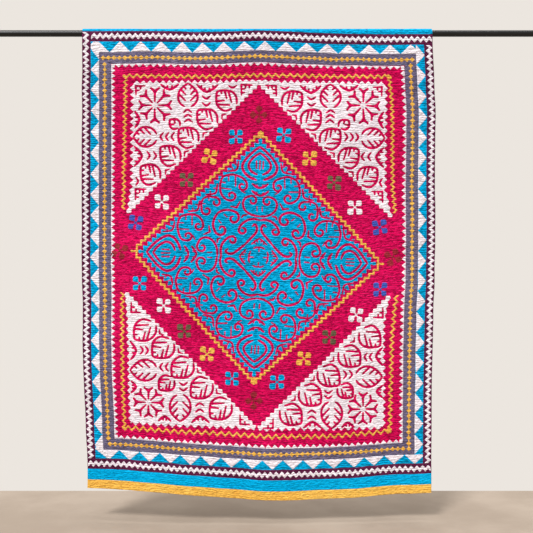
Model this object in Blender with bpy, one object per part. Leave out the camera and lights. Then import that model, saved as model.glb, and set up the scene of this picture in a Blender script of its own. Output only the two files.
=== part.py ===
"""Ralli quilt hung over a plain round rod.

Metres, +Z up, +X along the rod, the quilt's front faces -Y.
Origin: on the rod's axis, at the middle of its length.

The quilt is worked out on a flat chart: u runs across it (0 at its centre
line, + to the right) and w runs down it from its top cut edge.  One function,
hang(), lays the chart over the rod: a short flap behind, half a turn over the
rod, and the long front fall.  Every piece of cloth is cut from the same
facets, so that the layers stay parallel with a hair gap between them.
"""
import bpy
import bmesh
import math
import numpy as np

# ---------------------------------------------------------------- sizes
ROD_RADIUS = 0.0140        # round rod
ROD_LENGTH = 2.600
ROD_SIDES = 32
ROD_CHAMFER = 0.0015
CLEARANCE = 0.0026         # cloth to rod

GROUND_T = 0.0022          # quilted ground cloth
TOP_T = 0.0010             # strips and centre field
APPLIQUE_T = 0.0008        # medallion and corner panels
GAP = 0.00035              # between layers
SEAM = 0.0002              # each piece stops this short of its seam line

WIDTH = 1.520              # flat width
LENGTH = 2.110             # flat length
YELLOW_W = 0.038           # end band, outermost
BLUE_W = 0.048             # end band
ZIGZAG_END_W = 0.0456      # zigzag strip, top and bottom
ZIGZAG_SIDE_W = 0.0365     # zigzag strip, sides
TRIANGLE_END_W = 0.0400    # triangle strip, top and bottom
TRIANGLE_SIDE_W = 0.0370   # triangle strip, sides
GREY_W = 0.0520            # diamond-chain strip

# seam lines of the chart
U_EDGE = WIDTH / 2
U_ZIG = U_EDGE - ZIGZAG_SIDE_W
U_TRI = U_ZIG - TRIANGLE_SIDE_W
U_GREY = U_TRI - GREY_W
W_YEL = YELLOW_W
W_BLU = W_YEL + BLUE_W
W_ZIG = W_BLU + ZIGZAG_END_W
W_TRI = W_ZIG + TRIANGLE_END_W
W_GREY = W_TRI + GREY_W

# medallion (a diamond) and corner panels (right-angled triangles) on the chart
MEDALLION_C = (0.004, 1.070)
MEDALLION_HALF = (0.512, 0.515)
CORNER_U = 0.548           # outer corner of a panel, from the centre line
CORNER_LEGS = (0.545, 0.560)
CORNER_W = (0.312, 1.812)  # level of the upper and the lower corners

# facets: rows over the rod, and elsewhere
WRAP_FROM, WRAP_TO, WRAP_ROWS = 0.018, 0.096, 9
FIELD_COLUMNS = 12
FIELD_ROWS = 14

# how the cloth hangs: (u across the chart, fall below the rod's axis)
TOP_LINE = [        # upper edge of the triangle strip
    (-0.76, 0.0400), (-0.42, 0.0400), (-0.25, 0.0440), (-0.08, 0.0400), (0.00, 0.0370),
    (0.10, 0.0400), (0.27, 0.0486), (0.45, 0.0530), (0.76, 0.0530)]
BOTTOM_LINE = [     # lower edge of the triangle strip
    (-0.76, 1.857), (-0.55, 1.862), (-0.42, 1.869), (-0.22, 1.884), (-0.05, 1.894),
    (0.05, 1.898), (0.20, 1.897), (0.42, 1.891), (0.60, 1.882), (0.76, 1.878)]
WIDER_LEFT = 0.0070        # extra width of the upper triangle strip at the left
# how far each side edge strays from a straight line: (fall, shift in x)
LEFT_EDGE = [
    (-0.10, -0.0010), (0.00, -0.0010), (0.40, -0.0030), (0.75, -0.0070), (1.08, -0.0050),
    (1.45, -0.0030), (1.70, 0.0070), (1.86, 0.0140), (2.05, 0.0120)]
RIGHT_EDGE = [
    (-0.10, -0.0015), (0.00, -0.0015), (0.20, 0.0080), (0.32, 0.0140), (0.60, 0.0140),
    (0.90, 0.0140), (1.08, 0.0120), (1.25, 0.0060), (1.42, 0.0030), (1.70, 0.0000), (2.05, 0.0010)]
# long waves of the fall: height, waves per metre across, per metre down, phase
WAVES = [
    (0.0050, 1.55, 0.22, 0.4),
    (0.0035, 2.60, -0.35, 2.1),
    (0.0030, 0.70, 0.90, 1.0)]
CORNER_BACK = 0.045        # the lower corners swing back by this much
BELLY = 0.010              # the middle of the fall stands forward by this much
# small turn-backs of the side edges: side, fall, reach down, reach in, depth
EDGE_CURLS = [(-1, 1.25, 0.11, 0.07, 0.016), (1, 1.05, 0.16, 0.08, 0.010), (-1, 1.80, 0.12, 0.09, -0.010)]

WRAP_RADIUS = ROD_RADIUS + CLEARANCE + GROUND_T    # front face of the ground cloth


# ---------------------------------------------------------------- the hang
def curve(rows, x):
    """Smooth cubic curve through a table's rows (position, value)."""
    table = np.array(rows, dtype=float)
    xs, ys = table[:, 0], table[:, 1]
    slope = np.gradient(ys, xs)
    x = np.clip(x, xs[0], xs[-1])
    i = np.clip(np.searchsorted(xs, x) - 1, 0, len(xs) - 2)
    h = xs[i + 1] - xs[i]
    q = (x - xs[i]) / h
    return ((1 + 2 * q) * (1 - q) ** 2 * ys[i] + q * (1 - q) ** 2 * h * slope[i]
            + q * q * (3 - 2 * q) * ys[i + 1] + q * q * (q - 1) * h * slope[i + 1])


def fall(u, w):
    """Length of cloth from the rod's front down to chart point (u, w)."""
    top, bottom = curve(TOP_LINE, u), curve(BOTTOM_LINE, u)
    w_low = LENGTH - W_ZIG
    part = (w - W_ZIG) / (w_low - W_ZIG)
    s = np.where(w < W_ZIG, top + (w - W_ZIG),
                 np.where(w > w_low, bottom + (w - w_low), top + part * (bottom - top)))
    # towards the upper left the triangle strip was cut a little wider
    rise = np.clip((w - W_ZIG) / (W_TRI - W_ZIG), 0, 1)
    back = np.clip((w - W_GREY) / 0.10, 0, 1)
    reach = rise * rise * (3 - 2 * rise) * (1 - back * back * (3 - 2 * back))
    return s + WIDER_LEFT * np.clip((-0.05 - u) / 0.60, 0, 1) * reach


def hang(u, w):
    """Chart point (u, w) to its place in space, on the ground cloth's front face."""
    u, w = np.asarray(u, dtype=float), np.asarray(w, dtype=float)
    s = fall(u, w)
    across = (u + U_EDGE) / WIDTH
    x = u + curve(LEFT_EDGE, s) * (1 - across) + curve(RIGHT_EDGE, s) * across
    down = np.clip(s, 0.0, None)
    ease = np.clip(down / 0.40, 0, 1)
    ease = ease * ease * (3 - 2 * ease)
    out = CORNER_BACK * (down / 2.0) ** 1.6 * (u / U_EDGE) ** 2
    out = out - BELLY * (down / 2.0) * (1 - (u / U_EDGE) ** 2)
    for height, per_u, per_s, phase in WAVES:
        out = out + ease * height * np.sin(2 * math.pi * (per_u * u + per_s * down) + phase)
    for side, at, reach, inward, depth in EDGE_CURLS:
        out = out + depth * np.exp(-((s - at) / reach) ** 2) * np.exp(-((U_EDGE - side * u) / inward) ** 2)
    turn = np.clip(-s / WRAP_RADIUS, 0, math.pi)
    behind = np.clip(-s - math.pi * WRAP_RADIUS, 0, None)
    y = -WRAP_RADIUS * np.cos(turn) + np.where(s > 0, out, 0)
    z = WRAP_RADIUS * np.sin(turn) - down - behind
    return np.stack([x, y, z], axis=-1)


def facing(u, w):
    """Unit normal of the cloth's front at (u, w)."""
    e = 0.0005
    du = hang(np.asarray(u) + e, w) - hang(np.asarray(u) - e, w)
    dw = hang(u, np.asarray(w) + e) - hang(u, np.asarray(w) - e)
    n = np.cross(dw, du)
    n = n / np.linalg.norm(n, axis=-1, keepdims=True)
    return n


# ---------------------------------------------------------------- facets
inner = list(np.linspace(-U_GREY, U_GREY, FIELD_COLUMNS + 1))
U_LINES = np.array([-U_EDGE, -U_ZIG, -U_TRI] + inner + [U_TRI, U_ZIG, U_EDGE])
rows = [0.0] + list(np.linspace(WRAP_FROM, WRAP_TO, WRAP_ROWS + 1)) + [W_ZIG, W_TRI]
rows += list(np.linspace(W_GREY, LENGTH - W_GREY, FIELD_ROWS + 1))
rows += [LENGTH - W_TRI, LENGTH - W_ZIG, LENGTH - W_BLU, LENGTH - W_YEL, LENGTH]
W_LINES = np.array(rows)
UG, WG = np.meshgrid(U_LINES, W_LINES, indexing="ij")
NODE_P = hang(UG, WG)
NODE_N = facing(UG, WG)


def on_facet(u, w, lift):
    """Point at height `lift` above the facet that holds (u, w)."""
    i = int(np.clip(np.searchsorted(U_LINES, u) - 1, 0, len(U_LINES) - 2))
    j = int(np.clip(np.searchsorted(W_LINES, w) - 1, 0, len(W_LINES) - 2))
    a = (u - U_LINES[i]) / (U_LINES[i + 1] - U_LINES[i])
    b = (w - W_LINES[j]) / (W_LINES[j + 1] - W_LINES[j])
    near = NODE_P[i:i + 2, j:j + 2] + lift * NODE_N[i:i + 2, j:j + 2]
    if a >= b:
        return near[0, 0] + a * (near[1, 0] - near[0, 0]) + b * (near[1, 1] - near[1, 0])
    return near[0, 0] + b * (near[0, 1] - near[0, 0]) + a * (near[1, 1] - near[0, 1])


def material(name, colour, roughness, metallic=0.0):
    mat = bpy.data.materials.new(name)
    mat.use_nodes = True
    shader = mat.node_tree.nodes["Principled BSDF"]
    shader.inputs["Base Color"].default_value = (*colour, 1.0)
    shader.inputs["Roughness"].default_value = roughness
    shader.inputs["Metallic"].default_value = metallic
    mat.diffuse_color = (*colour, 1.0)
    return mat


def cloth(name, cuts, low, high, colour, slack=0.00005):
    """One piece of cloth: the facets inside all `cuts`, from height low to high.

    A cut (a, b, c) keeps the points where a*u + b*w <= c.
    """
    flat = bmesh.new()
    verts = [[flat.verts.new((u, w, 0.0)) for w in W_LINES] for u in U_LINES]
    for i in range(len(U_LINES) - 1):
        for j in range(len(W_LINES) - 1):
            p, q = verts[i][j], verts[i + 1][j]
            r, t = verts[i + 1][j + 1], verts[i][j + 1]
            flat.faces.new((p, q, r))
            flat.faces.new((p, r, t))
    for a, b, c in cuts:
        size = math.hypot(a, b)
        no = (a / size, b / size, 0.0)
        at = (a * c / size ** 2, b * c / size ** 2, 0.0)
        bmesh.ops.bisect_plane(flat, geom=flat.verts[:] + flat.edges[:] + flat.faces[:],
                               dist=slack, plane_co=at, plane_no=no, clear_outer=True)
    loose = [v for v in flat.verts if not v.link_faces]
    bmesh.ops.delete(flat, geom=loose, context="VERTS")
    bmesh.ops.triangulate(flat, faces=flat.faces[:])
    flat.verts.ensure_lookup_table()
    flat.verts.index_update()
    count = len(flat.verts)
    points = [on_facet(v.co.x, v.co.y, high) for v in flat.verts]
    points += [on_facet(v.co.x, v.co.y, low) for v in flat.verts]
    faces = []
    for f in flat.faces:
        i, j, k = (v.index for v in f.verts)
        faces.append((i, j, k))
        faces.append((count + k, count + j, count + i))
    for e in flat.edges:
        if len(e.link_faces) == 1:
            loop = e.link_loops[0]
            i, j = loop.vert.index, loop.link_loop_next.vert.index
            faces.append((i, count + i, count + j))
            faces.append((i, count + j, j))
    flat.free()
    mesh = bpy.data.meshes.new(name)
    mesh.from_pydata([tuple(p) for p in points], [], faces)
    body = bmesh.new()
    body.from_mesh(mesh)
    bmesh.ops.recalc_face_normals(body, faces=body.faces[:])
    body.to_mesh(mesh)
    body.free()
    mesh.shade_smooth()
    mesh.set_sharp_from_angle(angle=math.radians(40))
    mesh.materials.append(material(name, colour, 0.9))
    ob = bpy.data.objects.new(name, mesh)
    bpy.context.scene.collection.objects.link(ob)
    return ob


def box_cuts(u0, u1, w0, w1):
    """Cuts of a strip between four seam lines, short of each by SEAM."""
    return [(-1, 0, -(u0 + SEAM)), (1, 0, u1 - SEAM), (0, -1, -(w0 + SEAM)), (0, 1, w1 - SEAM)]


# ---------------------------------------------------------------- the build
for old in list(bpy.data.objects):
    bpy.data.objects.remove(old, do_unlink=True)

CRIMSON = (0.60, 0.012, 0.10)
MAROON = (0.11, 0.015, 0.055)
TURQUOISE = (0.0, 0.36, 0.62)
WHITE = (0.82, 0.76, 0.80)
GREY = (0.13, 0.12, 0.19)
YELLOW = (0.85, 0.42, 0.06)
TRIANGLES = (0.35, 0.60, 0.75)
CALICO = (0.62, 0.52, 0.42)
BLACK = (0.012, 0.012, 0.011)

# the rod
bpy.ops.mesh.primitive_cylinder_add(vertices=ROD_SIDES, radius=ROD_RADIUS, depth=ROD_LENGTH,
                                    location=(0, 0, 0), rotation=(0, math.pi / 2, 0))
rod = bpy.context.object
rod.name = rod.data.name = "rod"
rod.data.materials.append(material("rod", BLACK, 0.35, 0.3))
edge = rod.modifiers.new("ends", "BEVEL")
edge.width = ROD_CHAMFER
edge.segments = 1
edge.limit_method = "ANGLE"
edge.angle_limit = math.radians(60)
rod.data.shade_smooth()
rod.data.set_sharp_from_angle(angle=math.radians(30))

# the quilted ground, one cloth from the flap behind the rod to the hem
cloth("quilt_ground", [], -GROUND_T, 0.0, CALICO)

low, high = GAP, GAP + TOP_T
END = LENGTH

# plain end bands
cloth("band_yellow_top", box_cuts(-U_EDGE, U_EDGE, 0.0, W_YEL), low, high, YELLOW)
cloth("band_blue_top", box_cuts(-U_EDGE, U_EDGE, W_YEL, W_BLU), low, high, TURQUOISE)
cloth("band_blue_bottom", box_cuts(-U_EDGE, U_EDGE, END - W_BLU, END - W_YEL), low, high, TURQUOISE)
cloth("band_yellow_bottom", box_cuts(-U_EDGE, U_EDGE, END - W_YEL, END), low, high, YELLOW)

# zigzag strips: the left one runs up to the blue band, the right one starts below the top one
cloth("zigzag_top", box_cuts(-U_ZIG, U_EDGE, W_BLU, W_ZIG), low, high, MAROON)
cloth("zigzag_left", box_cuts(-U_EDGE, -U_ZIG, W_BLU, END - W_ZIG), low, high, MAROON)
cloth("zigzag_right", box_cuts(U_ZIG, U_EDGE, W_ZIG, END - W_ZIG), low, high, MAROON)
cloth("zigzag_bottom", box_cuts(-U_EDGE, U_EDGE, END - W_ZIG, END - W_BLU), low, high, MAROON)

# triangle strips
cloth("triangles_top", box_cuts(-U_ZIG, U_ZIG, W_ZIG, W_TRI), low, high, TRIANGLES)
cloth("triangles_bottom", box_cuts(-U_ZIG, U_ZIG, END - W_TRI, END - W_ZIG), low, high, TRIANGLES)
cloth("triangles_left", box_cuts(-U_ZIG, -U_TRI, W_TRI, END - W_TRI), low, high, TRIANGLES)
cloth("triangles_right", box_cuts(U_TRI, U_ZIG, W_TRI, END - W_TRI), low, high, TRIANGLES)

# diamond-chain strips
cloth("chain_top", box_cuts(-U_TRI, U_TRI, W_TRI, W_GREY), low, high, GREY)
cloth("chain_bottom", box_cuts(-U_TRI, U_TRI, END - W_GREY, END - W_TRI), low, high, GREY)
cloth("chain_left", box_cuts(-U_TRI, -U_GREY, W_GREY, END - W_GREY), low, high, GREY)
cloth("chain_right", box_cuts(U_GREY, U_TRI, W_GREY, END - W_GREY), low, high, GREY)

# centre field
cloth("centre_field", box_cuts(-U_GREY, U_GREY, W_GREY, END - W_GREY), low, high, CRIMSON)

# cut-work laid on the centre field
low, high = high + GAP, high + GAP + APPLIQUE_T
mu, mw = MEDALLION_C
hu, hw = MEDALLION_HALF
cuts = []
for su in (-1, 1):
    for sw in (-1, 1):
        cuts.append((su / hu, sw / hw, 1 + su * mu / hu + sw * mw / hw))
cloth("medallion", cuts, low, high, TURQUOISE, slack=0.003)

leg_u, leg_w = CORNER_LEGS
for name, su, sw, level in (("upper_left", -1, -1, 0), ("upper_right", 1, -1, 0),
                            ("lower_left", -1, 1, 1), ("lower_right", 1, 1, 1)):
    cu, cw = su * CORNER_U, CORNER_W[level]
    cuts = [(su, 0, su * cu), (0, sw, sw * cw),
            (-su / leg_u, -sw / leg_w, 1 - su * cu / leg_u - sw * cw / leg_w)]
    cloth("corner_panel_" + name, cuts, low, high, WHITE, slack=0.003)
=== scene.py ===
"""Ralli quilt on a hanging rod: the visible surfaces.

Everything is worked out on the quilt's flat chart, u across and w down, in
metres, and laid over the rod by hang().  The quilting, the long waves and the
creases are real relief, shared by every layer.  Patches are drawn as fields of
distance to their edges and cut out of a fine grid, so each is a thin cloth of
its own with a turned-under edge.
"""
import math
import bpy
import numpy as np
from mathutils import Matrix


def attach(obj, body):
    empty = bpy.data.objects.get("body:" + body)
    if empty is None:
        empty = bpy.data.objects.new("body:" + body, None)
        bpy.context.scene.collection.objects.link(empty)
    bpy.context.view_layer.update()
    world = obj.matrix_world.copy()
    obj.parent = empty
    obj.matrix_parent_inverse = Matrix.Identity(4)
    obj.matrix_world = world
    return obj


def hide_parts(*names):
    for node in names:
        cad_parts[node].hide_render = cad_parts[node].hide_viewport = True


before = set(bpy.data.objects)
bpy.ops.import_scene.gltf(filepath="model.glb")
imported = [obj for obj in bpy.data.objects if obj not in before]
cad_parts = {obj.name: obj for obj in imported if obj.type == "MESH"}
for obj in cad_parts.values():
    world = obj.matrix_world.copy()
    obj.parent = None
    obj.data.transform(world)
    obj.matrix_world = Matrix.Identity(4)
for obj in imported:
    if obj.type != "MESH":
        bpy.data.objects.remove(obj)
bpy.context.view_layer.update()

# ---------------------------------------------------------------- sizes, as in the frame
ROD_RADIUS = 0.0140
ROD_LENGTH = 2.600
CLEARANCE = 0.0026
GROUND_T = 0.0022
WIDTH, LENGTH = 1.520, 2.110
YELLOW_W, BLUE_W = 0.038, 0.048
ZIGZAG_END_W, ZIGZAG_SIDE_W = 0.0456, 0.0365
TRIANGLE_END_W, TRIANGLE_SIDE_W = 0.0400, 0.0370
GREY_W = 0.0520
U_EDGE = WIDTH / 2
U_ZIG = U_EDGE - ZIGZAG_SIDE_W
U_TRI = U_ZIG - TRIANGLE_SIDE_W
U_GREY = U_TRI - GREY_W
W_YEL = YELLOW_W
W_BLU = W_YEL + BLUE_W
W_ZIG = W_BLU + ZIGZAG_END_W
W_TRI = W_ZIG + TRIANGLE_END_W
W_GREY = W_TRI + GREY_W
END = LENGTH

TOP_LINE = [
    (-0.76, 0.0400), (-0.42, 0.0400), (-0.25, 0.0440), (-0.08, 0.0400), (0.00, 0.0370),
    (0.10, 0.0400), (0.27, 0.0486), (0.45, 0.0530), (0.76, 0.0530)]
BOTTOM_LINE = [
    (-0.76, 1.857), (-0.55, 1.862), (-0.42, 1.869), (-0.22, 1.884), (-0.05, 1.894),
    (0.05, 1.898), (0.20, 1.897), (0.42, 1.891), (0.60, 1.882), (0.76, 1.878)]
LEFT_EDGE = [
    (-0.10, -0.0010), (0.00, -0.0010), (0.40, -0.0030), (0.75, -0.0070), (1.08, -0.0050),
    (1.45, -0.0030), (1.70, 0.0070), (1.86, 0.0140), (2.05, 0.0120)]
RIGHT_EDGE = [
    (-0.10, -0.0015), (0.00, -0.0015), (0.20, 0.0080), (0.32, 0.0140), (0.60, 0.0140),
    (0.90, 0.0140), (1.08, 0.0120), (1.25, 0.0060), (1.42, 0.0030), (1.70, 0.0000), (2.05, 0.0010)]
WAVES = [
    (0.0050, 1.55, 0.22, 0.4),
    (0.0035, 2.60, -0.35, 2.1),
    (0.0030, 0.70, 0.90, 1.0)]
CORNER_BACK = 0.045
BELLY = 0.010
WIDER_LEFT = 0.0070
EDGE_CURLS = [(-1, 1.25, 0.11, 0.07, 0.016), (1, 1.05, 0.16, 0.08, 0.010), (-1, 1.80, 0.12, 0.09, -0.010)]
WRAP_RADIUS = ROD_RADIUS + CLEARANCE + GROUND_T

TOP_H = 0.00135          # face of the strips and the centre field, above the ground
PATCH_T = 0.0010         # a patch stands this much above what it is sewn to
ROW = 0.0094             # quilting rows, apart
STITCH = 0.0062          # one stitch and its gap


# ---------------------------------------------------------------- the hang
def curve(rows, x):
    table = np.array(rows, dtype=float)
    xs, ys = table[:, 0], table[:, 1]
    slope = np.gradient(ys, xs)
    x = np.clip(x, xs[0], xs[-1])
    i = np.clip(np.searchsorted(xs, x) - 1, 0, len(xs) - 2)
    h = xs[i + 1] - xs[i]
    q = (x - xs[i]) / h
    return ((1 + 2 * q) * (1 - q) ** 2 * ys[i] + q * (1 - q) ** 2 * h * slope[i]
            + q * q * (3 - 2 * q) * ys[i + 1] + q * q * (q - 1) * h * slope[i + 1])


def fall(u, w):
    top, bottom = curve(TOP_LINE, u), curve(BOTTOM_LINE, u)
    w_low = LENGTH - W_ZIG
    part = (w - W_ZIG) / (w_low - W_ZIG)
    s = np.where(w < W_ZIG, top + (w - W_ZIG),
                 np.where(w > w_low, bottom + (w - w_low), top + part * (bottom - top)))
    # towards the upper left the triangle strip was cut a little wider
    rise = np.clip((w - W_ZIG) / (W_TRI - W_ZIG), 0, 1)
    back = np.clip((w - W_GREY) / 0.10, 0, 1)
    reach = rise * rise * (3 - 2 * rise) * (1 - back * back * (3 - 2 * back))
    return s + WIDER_LEFT * np.clip((-0.05 - u) / 0.60, 0, 1) * reach


def hang(u, w):
    """Chart point to its place, on the ground cloth's front face."""
    s = fall(u, w)
    across = (u + U_EDGE) / WIDTH
    x = u + curve(LEFT_EDGE, s) * (1 - across) + curve(RIGHT_EDGE, s) * across
    down = np.clip(s, 0.0, None)
    ease = np.clip(down / 0.40, 0, 1)
    ease = ease * ease * (3 - 2 * ease)
    out = CORNER_BACK * (down / 2.0) ** 1.6 * (u / U_EDGE) ** 2
    out = out - BELLY * (down / 2.0) * (1 - (u / U_EDGE) ** 2)
    for height, per_u, per_s, phase in WAVES:
        out = out + ease * height * np.sin(2 * math.pi * (per_u * u + per_s * down) + phase)
    for side, at, reach, inward, depth in EDGE_CURLS:
        out = out + depth * np.exp(-((s - at) / reach) ** 2) * np.exp(-((U_EDGE - side * u) / inward) ** 2)
    turn = np.clip(-s / WRAP_RADIUS, 0, math.pi)
    behind = np.clip(-s - math.pi * WRAP_RADIUS, 0, None)
    y = -WRAP_RADIUS * np.cos(turn) + np.where(s > 0, out, 0)
    z = WRAP_RADIUS * np.sin(turn) - down - behind
    return np.stack([x, y, z], axis=-1)


def facing(u, w):
    e = 0.0006
    du = hang(u + e, w) - hang(u - e, w)
    dw = hang(u, w + e) - hang(u, w - e)
    n = np.cross(dw, du)
    return n / np.linalg.norm(n, axis=-1, keepdims=True)


# ---------------------------------------------------------------- unevenness
def lattice(ix, iy, seed):
    n = (ix * 374761393 + iy * 668265263 + seed * 1442695041) & 0xFFFFFFFF
    n = ((n ^ (n >> 13)) * 1274126177) & 0xFFFFFFFF
    return ((n ^ (n >> 16)) & 0xFFFF) / 32767.5 - 1.0


def noise(x, y, seed):
    """Smooth noise from -1 to 1, one swing per unit."""
    x, y = np.asarray(x, dtype=float), np.asarray(y, dtype=float)
    ix, iy = np.floor(x).astype(np.int64), np.floor(y).astype(np.int64)
    fx, fy = x - ix, y - iy
    fx, fy = fx * fx * (3 - 2 * fx), fy * fy * (3 - 2 * fy)
    a, b = lattice(ix, iy, seed), lattice(ix + 1, iy, seed)
    c, d = lattice(ix, iy + 1, seed), lattice(ix + 1, iy + 1, seed)
    return (a + (b - a) * fx) * (1 - fy) + (c + (d - c) * fx) * fy


def quilt_row(u, w):
    """Which quilting row a point lies on; whole numbers are the sewn lines."""
    drift = 0.0085 * noise(u / 0.31, w / 0.26, 1) + 0.0034 * noise(u / 0.075, w / 0.11, 2)
    drift = drift + 0.0036 * noise(u / 0.034, w / 0.032, 4) * unrolled(w)
    return (w + drift) / ROW


def quilt_along(u, row):
    line = np.floor(row + 0.5).astype(np.int64)
    return u / STITCH + 3.0 * lattice(line, line * 0 + 7, 3)


def unrolled(w):
    """0 over the rod, 1 on the front fall."""
    q = np.clip((w - 0.100) / 0.07, 0, 1)
    return q * q * (3 - 2 * q)


def body_relief(u, w):
    """Bulges that the whole thickness follows: lumps, creases from folding."""
    r = 0.0016 * noise(u / 0.26, w / 0.21, 11) + 0.0009 * noise(u / 0.095, w / 0.060, 12)
    # crease of the lengthwise fold, strongest below the upper border
    span = np.clip((w - 0.27) / 0.06, 0, 1) * np.clip((0.56 - w) / 0.12, 0, 1)
    bend = 0.006 + 0.002 * np.sin(w * 21)
    r = r - 0.0017 * span * np.exp(-((u - bend) / 0.0052) ** 2)
    r = r + 0.0010 * span * np.exp(-((u - bend - 0.011) / 0.0065) ** 2)
    r = r - 0.0007 * np.exp(-((u - bend) / 0.007) ** 2) * np.clip((w - 0.2) / 0.1, 0, 1)
    # crease of the crosswise fold
    level = 1.057 + 0.002 * np.sin(u * 9)
    reach = np.clip((0.56 - np.abs(u + 0.02)) / 0.2, 0, 1)
    r = r - 0.0022 * reach * np.exp(-((w - level) / 0.0070) ** 2)
    r = r + 0.0009 * reach * np.exp(-((w - level + 0.013) / 0.0070) ** 2)
    return r * unrolled(w)


def gather(u, w, row):
    """How hard the thread draws the cloth in, each sewn line on its own."""
    line = np.floor(row + 0.5)
    pull = 0.85 + 0.85 * noise(u / 0.021, line, 21) + 0.30 * noise(u / 0.060, w / 0.035, 22)
    return np.clip(pull, 0.05, 1.7)


def pucker(u, w, row):
    """The quilting: a sewn-down line at each row and uneven puffs between."""
    c = 0.5 + 0.5 * np.cos(2 * math.pi * row)
    hem = 1 - 0.5 * np.clip((w - (END - W_BLU - 0.004)) / 0.008, 0, 1)
    r = -0.00165 * c ** 1.2 * gather(u, w, row) * hem
    r = r + 0.00055 * noise(u / 0.0165, row * 1.15, 23) * hem
    return r * (0.45 + 0.55 * unrolled(w))


def place(u, w, h):
    """Chart point at height h above the ground's face, with all the relief."""
    u, w = np.asarray(u, dtype=float), np.asarray(w, dtype=float)
    row = quilt_row(u, w)
    lift = h + body_relief(u, w) + pucker(u, w, row)
    uu = u + 0.0013 * noise(u / 0.20, w / 0.085, 31)
    ww = w + 0.0013 * noise(u / 0.085, w / 0.20, 32) * unrolled(w)
    p = hang(uu, ww) + facing(u, w) * lift[..., None]
    return p, row


def sewing(u, w, row):
    """Point data for the shader: row, place along it, pull of the thread."""
    return np.stack([row, quilt_along(u, row), gather(u, w, row)], axis=-1).reshape(-1, 3)


# ---------------------------------------------------------------- meshes
COUNTS = {}


def make(name, points, groups, chart, quilt, mat):
    me = bpy.data.meshes.new(name)
    loops = np.concatenate([g.reshape(-1) for g in groups]).astype(np.int32)
    sizes = np.concatenate([np.full(len(g), g.shape[1]) for g in groups])
    starts = np.concatenate([[0], np.cumsum(sizes)[:-1]]).astype(np.int32)
    COUNTS[name] = int((sizes - 2).sum())
    me.vertices.add(len(points))
    me.vertices.foreach_set("co", points.astype(np.float32).ravel())
    me.loops.add(len(loops))
    me.loops.foreach_set("vertex_index", loops)
    me.polygons.add(len(sizes))
    me.polygons.foreach_set("loop_start", starts)
    for label, data in (("chart", chart), ("quilt", quilt)):
        layer = me.attributes.new(label, "FLOAT_VECTOR", "POINT")
        layer.data.foreach_set("vector", data.astype(np.float32).ravel())
    me.update(calc_edges=True)
    me.validate()
    me.shade_smooth()
    me.materials.append(mat)
    ob = bpy.data.objects.new(name, me)
    bpy.context.scene.collection.objects.link(ob)
    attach(ob, "root")
    return ob


def lines(a, b, step, first, last):
    """Grid lines from a to b with their drop: a seam dips, an edge turns to the back."""
    seam = [(0.0, -0.00105), (0.0011, -0.00050), (0.0028, 0.0)]
    edge = [(0.0020, -0.0050), (-0.0005, -0.0040), (-0.0011, -0.0024), (-0.0007, -0.0008), (0.0010, 0.0)]
    head = seam if first == "seam" else edge
    tail = seam if last == "seam" else edge
    lo, hi = a + head[-1][0], b - tail[-1][0]
    count = max(1, int(round((hi - lo) / step)))
    pos = [a + p for p, _ in head[:-1]] + list(np.linspace(lo, hi, count + 1)) + [b - p for p, _ in tail[:-1]][::-1]
    drop = [h for _, h in head[:-1]] + [0.0] * (count + 1) + [h for _, h in tail[:-1]][::-1]
    return np.array(pos), np.array(drop)


def panel(name, u0, u1, w0, w1, mat, sides="ssss", step_u=0.0094, step_w=ROW / 4):
    """A strip or field of cloth; sides says seam or edge for left, right, top, bottom."""
    kind = {"s": "seam", "e": "edge"}
    us, du = lines(u0, u1, step_u, kind[sides[0]], kind[sides[1]])
    ws, dw = lines(w0, w1, step_w, kind[sides[2]], kind[sides[3]])
    U, W = np.meshgrid(us, ws, indexing="ij")
    H = TOP_H + np.minimum(du[:, None], dw[None, :])
    p, row = place(U, W, H)
    n = len(ws)
    i, j = np.meshgrid(np.arange(len(us) - 1), np.arange(n - 1), indexing="ij")
    c0 = (i * n + j).ravel()
    quads = np.stack([c0, c0 + 1, c0 + n + 1, c0 + n], axis=1)
    chart = np.stack([U, W, np.full(U.shape, 0.02)], axis=-1).reshape(-1, 3)
    return make(name, p.reshape(-1, 3), [quads], chart, sewing(U, W, row), mat)


# ---------------------------------------------------------------- patches
GU = np.arange(-0.7648, 0.7649, 0.0032)
GW = np.arange(0.0700, 2.1000, ROW / 4)
REACH = 0.0075


def field():
    return np.full((len(GU), len(GW)), -REACH)


def span(values, lo, hi):
    return slice(int(np.searchsorted(values, lo)), int(np.searchsorted(values, hi, side="right")))


def to_segment(U, W, p, q):
    """Distance to a segment, and how far along it the nearest place is."""
    dx, dy = q[0] - p[0], q[1] - p[1]
    size = dx * dx + dy * dy
    t = 0.0 if size < 1e-14 else np.clip(((U - p[0]) * dx + (W - p[1]) * dy) / size, 0, 1)
    return np.hypot(U - p[0] - t * dx, W - p[1] - t * dy), t


def stroke(d, pts, half, taper=0.0):
    """Adds a line of the given half width; its ends thin out over the taper length."""
    pts = np.asarray(pts, dtype=float)
    at = np.concatenate([[0], np.cumsum(np.hypot(*(pts[1:] - pts[:-1]).T))])
    halves = np.full(len(pts), half)
    if taper:
        ends = np.minimum(at, at[-1] - at)
        halves = half * (0.62 + 0.38 * np.clip(ends / min(taper, at[-1] / 2 + 1e-9), 0, 1))
    for p, q, h0, h1 in zip(pts[:-1], pts[1:], halves[:-1], halves[1:]):
        a = span(GU, min(p[0], q[0]) - half - REACH, max(p[0], q[0]) + half + REACH)
        b = span(GW, min(p[1], q[1]) - half - REACH, max(p[1], q[1]) + half + REACH)
        if a.start == a.stop or b.start == b.stop:
            continue
        near, t = to_segment(GU[a, None], GW[None, b], p, q)
        d[a, b] = np.maximum(d[a, b], h0 + (h1 - h0) * t - near)


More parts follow.
